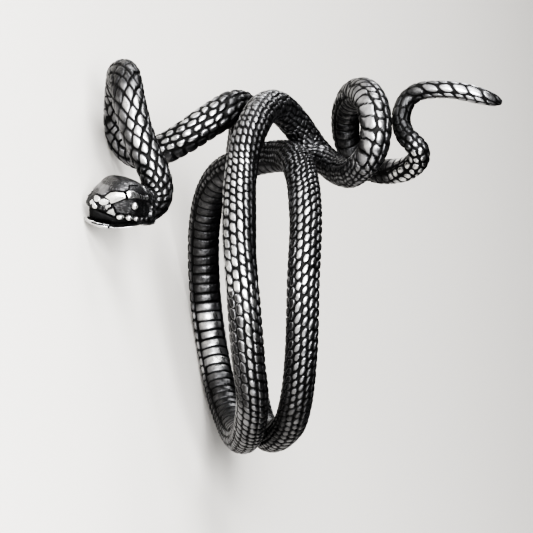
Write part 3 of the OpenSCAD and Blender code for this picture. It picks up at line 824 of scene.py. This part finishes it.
# %% Plates and cuts of the skull
# Each plate: its corners, the width of its soft edge and its height in mm, and its polish. A
# plate lies over the ones before it.
SKULL_PLATES = {
    "crown": ([(2.73, 1.97), (2.27, 2.01), (1.47, 1.87), (1.31, 1.63), (1.43, 1.31),
               (1.75, 1.19), (2.35, 1.23), (2.71, 1.23), (2.73, 1.51)], 0.10, 0.03, 0.57),
    "temple": ([(1.29, 1.67), (0.70, 1.67), (0.30, 1.35), (0.10, 0.95), (0.26, 0.87),
                (0.66, 1.07), (1.07, 1.28), (1.39, 1.39)], 0.08, -0.07, 0.54),
    "muzzle": ([(3.98, 0.95), (3.45, 0.80), (3.18, 0.72), (2.62, 0.22), (2.35, -0.10),
                (2.30, -0.80), (4.60, -0.30), (4.60, 0.60)], 0.10, -0.03, 0.36),
    "forehead": ([(3.72, 1.07), (3.64, 1.31), (3.52, 1.55), (3.32, 1.75), (2.92, 1.67),
                  (2.80, 1.51), (2.87, 1.28), (3.20, 1.03), (3.38, 0.88), (3.60, 1.02)],
                 0.30, 0.05, 0.76),
    "eye_hollow": ([(2.67, 0.20), (2.31, 0.32), (1.83, 0.53), (1.51, 0.57), (1.11, 0.61),
                    (0.66, 0.59), (0.26, 0.47), (-0.06, 0.34), (-0.26, 0.02), (-0.30, -0.38),
                    (-0.18, -0.74), (0.30, -0.90), (0.74, -0.90), (1.07, -0.86),
                    (1.43, -0.86), (1.71, -0.86), (2.11, -0.82), (2.31, -0.74),
                    (2.41, -0.34), (2.51, -0.06)], 0.14, -0.24, 0.58),
    "front_brow": ([(3.16, 0.75), (3.00, 0.89), (2.75, 1.07), (2.35, 1.14), (1.83, 1.06),
                    (1.71, 0.97), (1.60, 0.65), (1.83, 0.59), (2.35, 0.36), (2.67, 0.24),
                    (2.77, 0.30), (2.83, 0.43), (2.79, 0.51)], 0.07, 0.13, 1.0),
    "rear_brow": ([(1.60, 1.13), (1.47, 1.24), (1.31, 1.27), (1.07, 1.21), (0.66, 0.98),
                   (0.22, 0.83), (0.04, 0.87), (-0.08, 0.75), (0.08, 0.51), (0.66, 0.65),
                   (1.11, 0.67), (1.46, 0.63), (1.53, 0.83)], 0.07, 0.13, 0.95),
    "nose_plate": ([(3.96, 0.83), (3.87, 0.92), (3.72, 0.91), (3.54, 0.79), (3.52, 0.63),
                    (3.60, 0.45), (3.76, 0.41), (3.92, 0.47), (3.98, 0.65)], 0.08, 0.09, 1.0),
    "cheek_plate": ([(3.56, 0.53), (3.44, 0.63), (3.20, 0.65), (2.90, 0.51), (2.86, 0.39),
                     (2.92, 0.26), (3.16, 0.14), (3.36, 0.14), (3.54, 0.26), (3.62, 0.39)],
                    0.08, 0.09, 1.0),
    "snout_plate": ([(4.30, 0.43), (4.18, 0.59), (4.06, 0.65), (3.98, 0.43), (3.87, 0.26),
                     (3.70, 0.02), (3.76, -0.13), (3.94, -0.15), (4.10, 0.00), (4.12, 0.26),
                     (4.24, 0.20)], 0.07, 0.08, 1.0),
    "gum_front": ([(3.52, 0.06), (3.38, 0.08), (3.34, -0.24), (3.60, -0.16)], 0.06, 0.05, 0.6),
    "gum_rear": ([(3.30, 0.08), (3.18, 0.06), (3.10, -0.24), (3.26, -0.32)], 0.06, 0.05, 0.6),
    "upper_lip_plate": ([(3.12, 0.14), (2.73, 0.20), (2.67, 0.02), (2.92, -0.12),
                         (3.02, -0.20), (3.14, -0.06)], 0.07, 0.08, 0.95),
    "corner_lip_plate": ([(2.88, -0.24), (2.55, -0.08), (2.45, -0.34), (2.36, -0.66),
                          (2.55, -0.71), (2.79, -0.59), (3.06, -0.44)], 0.07, 0.08, 0.95),
}
# Each cut: its line, half its width and its depth in mm. A negative depth raises a bright ridge.
SKULL_CUTS = [
    ([(3.82, 1.01), (3.60, 0.95), (3.38, 0.83), (3.20, 0.90), (2.83, 1.18), (2.35, 1.20),
      (1.71, 1.13), (1.43, 1.26), (1.07, 1.24), (0.66, 1.03), (0.20, 0.85)], 0.06, 0.06),
    ([(1.71, 1.15), (1.51, 0.59)], 0.05, 0.13),
    ([(3.82, 0.26), (3.70, 0.20), (3.60, 0.02)], 0.05, 0.09),
    ([(4.16, 0.22), (4.12, 0.06)], 0.05, 0.08),
    ([(2.92, -0.10), (2.66, 0.00)], 0.05, 0.10),
    ([(0.36, 1.57), (0.12, 1.27), (-0.06, 1.05)], 0.05, -0.06),
    ([(0.52, 1.62), (0.24, 1.30), (0.04, 1.00)], 0.04, 0.06),
]
print("plates on the skull:", len(SKULL_PLATES))

# %% Plates and cuts of the jaw
JAW_PLATES = {
    "chin": ([(4.70, -0.70), (4.00, -1.02), (2.90, -1.28), (2.86, -1.80), (4.80, -1.80)],
             0.10, 0.05, 0.95),
    "jaw_hinge": ([(2.82, -1.10), (2.35, -1.02), (1.31, -0.98), (0.30, -0.98), (0.30, -1.80),
                   (2.76, -1.80)], 0.10, -0.04, 0.92),
    "mouth_floor": ([(4.62, -0.40), (4.46, -0.62), (4.36, -0.78), (4.22, -0.87), (4.04, -0.88),
                     (3.90, -0.93), (3.72, -1.03), (3.58, -1.02), (3.42, -1.11),
                     (3.24, -1.07), (3.04, -1.14), (2.74, -1.10), (2.50, -0.90), (2.40, -0.60),
                     (2.40, 0.60), (4.80, 0.60)], 0.08, -0.14, 0.0),
}
JAW_CUTS = [
    ([(4.53, -0.58), (4.40, -0.80), (4.26, -0.91), (4.08, -0.92), (3.92, -0.97),
      (3.76, -1.08), (3.60, -1.07), (3.44, -1.16), (3.24, -1.12), (3.04, -1.19),
      (2.87, -1.22)], 0.08, -0.07),
    ([(4.10, -1.06), (3.76, -1.17), (3.56, -1.22), (3.24, -1.25), (2.90, -1.30),
      (2.83, -1.60)], 0.05, 0.07),
]
print("plates on the jaw:", len(JAW_PLATES))


# %% Carving the head
AT_EDGE = 0.75  # the share of a plate's height that it has at its edge
CROWN = 0.3  # mm from the edge to where a plate has its full height
CUT_SLOPE = 1.4  # how many times half its width a cut's sides reach out
RIDGE_POLISH, CUT_POLISH = 1.0, 0.1


def carved(local, plates, cuts, base_polish, ground):
    """Heights in mm and polish of points of the head under the shapes of the drawing."""
    at = drawn(local)
    height = np.full(local.shape[:-1], ground)
    polish = np.full(local.shape[:-1], base_polish)
    for corners, soft, rise, shine in plates.values():
        d = from_line(at, corners)
        share = eased(0.5 - d / soft)
        height += rise * (AT_EDGE * share + (1 - AT_EDGE) * eased(-d / CROWN))
        polish += (shine - polish) * share
    for corners, half, depth in cuts:
        share = eased(1 - from_line(at, corners, closed=False) / half / CUT_SLOPE)
        height -= depth * share
        polish += ((RIDGE_POLISH if depth < 0 else CUT_POLISH) - polish) * share
    return height, polish


# %% Skin of the head as it was cast
# Plates that are polished above BRIGHT have lost their unevenness to the cloth.
BRIGHT = 0.9
NAPE_END = 0.5  # mm ahead of the nape, where the rough skin of the neck has run out
LUMP_SIZE, HEAD_LUMPS, NAPE_LUMPS = 0.33, 0.003, 0.035  # mm
NAPE_POLISH, NAPE_PATCHES = 0.64, 0.3
GRAIN_SIZE, GRAIN_HEIGHT = 0.2, 0.014  # mm
SMOOTH_POLISH, GRAIN_RAMP = 0.8, 0.3  # polish without grain, and how far below it is full
STREAK_SIZE, STREAKS = np.array([0.5, 0.2, 0.2]), 0.13  # mm, and points of polish
STREAKED = (0.4, 0.7)  # the half-bright polish that shows streaks


def as_cast(local, height, polish):
    """Heights and polish with what the casting left and the cloth didn't rub away."""
    nape = eased((NAPE_END - local[..., 0]) / NAPE_END)
    lumps = uneven(local, LUMP_SIZE)
    height = height + (HEAD_LUMPS + NAPE_LUMPS * nape) * lumps * (polish < BRIGHT)
    # The grain's waves are bent, or they would line up as a lattice.
    bent = (local + 0.15 * uneven(local, 0.7)[..., None]
            + 0.05 * uneven(local[..., ::-1], 0.3)[..., None])
    height += (GRAIN_HEIGHT * uneven(bent, GRAIN_SIZE)
               * np.clip(SMOOTH_POLISH - polish, 0, GRAIN_RAMP) / GRAIN_RAMP)
    streaks = uneven(local / STREAK_SIZE, 1.0)
    polish = polish + STREAKS * streaks * (polish > STREAKED[0]) * (polish < STREAKED[1])
    polish += nape * (NAPE_POLISH + NAPE_PATCHES * lumps - polish) * (polish < BRIGHT)
    return height, polish


# %% Parts of the head
ROOF_FROM = 2  # mm ahead of the nape, where the black roof of the mouth starts


def head_part(name, table, rings, around, **drawing):
    """A part of the head, lofted, carved and set on the nape."""
    local = head_grid(table, rings, around)
    facing_out = grid_normals(local)
    height, polish = as_cast(local, *carved(local, **drawing))
    # The roof of the mouth is the part of the skull that faces down.
    if name == "skull":
        faces_down = eased((-facing_out[..., 2] - 0.6) / 0.25)
        polish *= 1 - faces_down * eased((local[..., 0] - ROOF_FROM) / 0.5)
    upright = (local + facing_out * height[..., None]) @ HEAD_TURN.T + NAPE
    lying = laid(upright) / MM
    print(name, "lowest point above the floor, mm:", round(float(lying[..., 2].min()), 3))
    # The tone of the skin differs in patches of about a millimetre.
    chance = 0.5 + 0.2 * uneven(local, 0.9)
    grid_piece(name, upright, grid_normals(upright), {"stands_out_and_painted_light": polish, "chance": chance},
               caps=(0, 1))


head_part("skull", SKULL, 240, 260, plates=SKULL_PLATES, cuts=SKULL_CUTS, base_polish=0.57,
          ground=-0.08)
head_part("jaw", JAW, 150, 160, plates=JAW_PLATES, cuts=JAW_CUTS, base_polish=0.7, ground=-0.04)
head_part("mouth_inside", MOUTH, 50, 60, plates={}, cuts=[], base_polish=0.05, ground=-0.04)

# %% [markdown]
# ## Eyes and lip scales
#
# The eyes and the scales of the upper lip stand out like small drops of metal. They are soldered
# on or cast in one with the head, so each is a flattened ball, a little uneven, sunk into the
# skull by about half.

# %% Drops of metal
# Middle and half sizes in the head's millimetres: forward, near side, up. Then the polish.
DROPS = {
    "eye": ((1.68, 1.84, 0.70), (0.25, 0.26, 0.30), 1.0),
    "lip_scale_1": ((2.66, 1.50, -0.10), (0.31, 0.26, 0.20), 1.0),
    "lip_scale_2": ((2.09, 1.74, -0.16), (0.25, 0.26, 0.21), 1.0),
    "lip_scale_3": ((1.60, 1.84, -0.25), (0.22, 0.24, 0.18), 0.9),
    "lip_scale_4": ((1.14, 1.76, -0.33), (0.17, 0.18, 0.14), 0.65),
    "lip_scale_5": ((0.74, 1.62, -0.36), (0.16, 0.18, 0.13), 0.60),
}
RINGS, ROUND = 17, 30
POLE = 0.1  # radians from a pole to the first ring
LUMPY = 0.05  # how much a drop's radius differs
DROP_CHANCE = 0.6

down, round_it = np.meshgrid(np.linspace(POLE, math.pi - POLE, RINGS),
                             np.linspace(0, 2 * math.pi, ROUND, endpoint=False), indexing="ij")
ball = np.stack([np.sin(down) * np.cos(round_it), np.sin(down) * np.sin(round_it),
                 np.cos(down)], -1)
for name, (middle, half, shine) in DROPS.items():
    for side, flip in {"near": np.ones(3), "far": MIRROR}.items():
        lumpy = ball * half * (1 + LUMPY * uneven(ball + middle, 1.4))[..., None]
        local = np.array(middle) + lumpy
        upright = (local[::int(flip[1])] * flip) @ HEAD_TURN.T + NAPE
        grid_piece(f"{name}_{side}", upright, grid_normals(upright),
                   {"stands_out_and_painted_light": np.full(down.shape, shine),
                    "chance": np.full(down.shape, DROP_CHANCE)}, caps=(0, 1))

# %% [markdown]
# ## Floor and light
#
# The ring lies on a plain pale floor, a large sheet of matt paper. It is too rough to mirror the
# ring and shows only its soft shadow. A polished metal shows mostly what it reflects, so a few
# large soft lamps in dim surroundings give bright patches with dark edges. The key lamp hangs
# behind the camera, a larger one above it, and a fill to its left. The rim lamp lights the edges
# from behind, and the bounce lamp the lower sides, as a white card would.

# %% Floor
FLOOR_HALF = 3.0  # m
floor_mesh = bpy.data.meshes.new("floor")
floor_mesh.from_pydata([(x * FLOOR_HALF, y * FLOOR_HALF, 0)
                        for x, y in ((-1, -1), (1, -1), (1, 1), (-1, 1))], [], [(0, 1, 2, 3)])
floor = bpy.data.objects.new("floor", floor_mesh)
bpy.context.scene.collection.objects.link(floor)
paper = bpy.data.materials.new("matt_pale_paper")
paper.use_nodes = True
tree = paper.node_tree
tree.nodes.clear()
shader = add_node(tree, "ShaderNodeBsdfPrincipled", None, Base_Color=linear("#dad7d2"),
                  Roughness=0.8)
add_node(tree, "ShaderNodeOutputMaterial", None, Surface=shader.outputs[0])
floor_mesh.materials.append(paper)
print("floor, m across:", 2 * FLOOR_HALF)

# %% Lamps
# Each lamp: its place to the right, up and towards the eye in the picture and its width, in mm,
# and its radiance, which gives its power in watts.
LAMPS = {"key": ((60, 60, 330), 190, 40.0), "top": ((60, 280, 170), 280, 10.0),
         "fill": ((-60, 120, 330), 160, 8.0), "rim": ((90, 260, -120), 160, 10.0),
         "bounce": ((40, -260, 200), 200, 6.0)}

for name, (spot, size, radiance) in LAMPS.items():
    lamp = bpy.data.objects.new(name, bpy.data.lights.new(name, "AREA"))
    lamp.data.shape = "DISK"
    lamp.data.size = size * MM
    lamp.data.energy = radiance * math.pi * math.pi * (size * MM / 2) ** 2
    lamp.location = seen_from_camera(*spot)
    to_ring = Vector(laid([0, 0, 0])) - lamp.location
    lamp.rotation_euler = to_ring.to_track_quat("-Z", "Y").to_euler()
    bpy.context.scene.collection.objects.link(lamp)
    print(name, "at, mm:", [round(v / MM) for v in lamp.location])

# %% Surroundings
SURROUNDINGS, DIM = "#606264", 0.22
world = bpy.data.worlds.new("studio")
bpy.context.scene.world = world
world.use_nodes = True
world.node_tree.nodes["Background"].inputs["Color"].default_value = linear(SURROUNDINGS)
world.node_tree.nodes["Background"].inputs["Strength"].default_value = DIM
bpy.context.scene.view_settings.view_transform = "AgX"
bpy.context.scene.view_settings.look = "AgX - High Contrast"
print("surroundings:", SURROUNDINGS, "at", DIM)
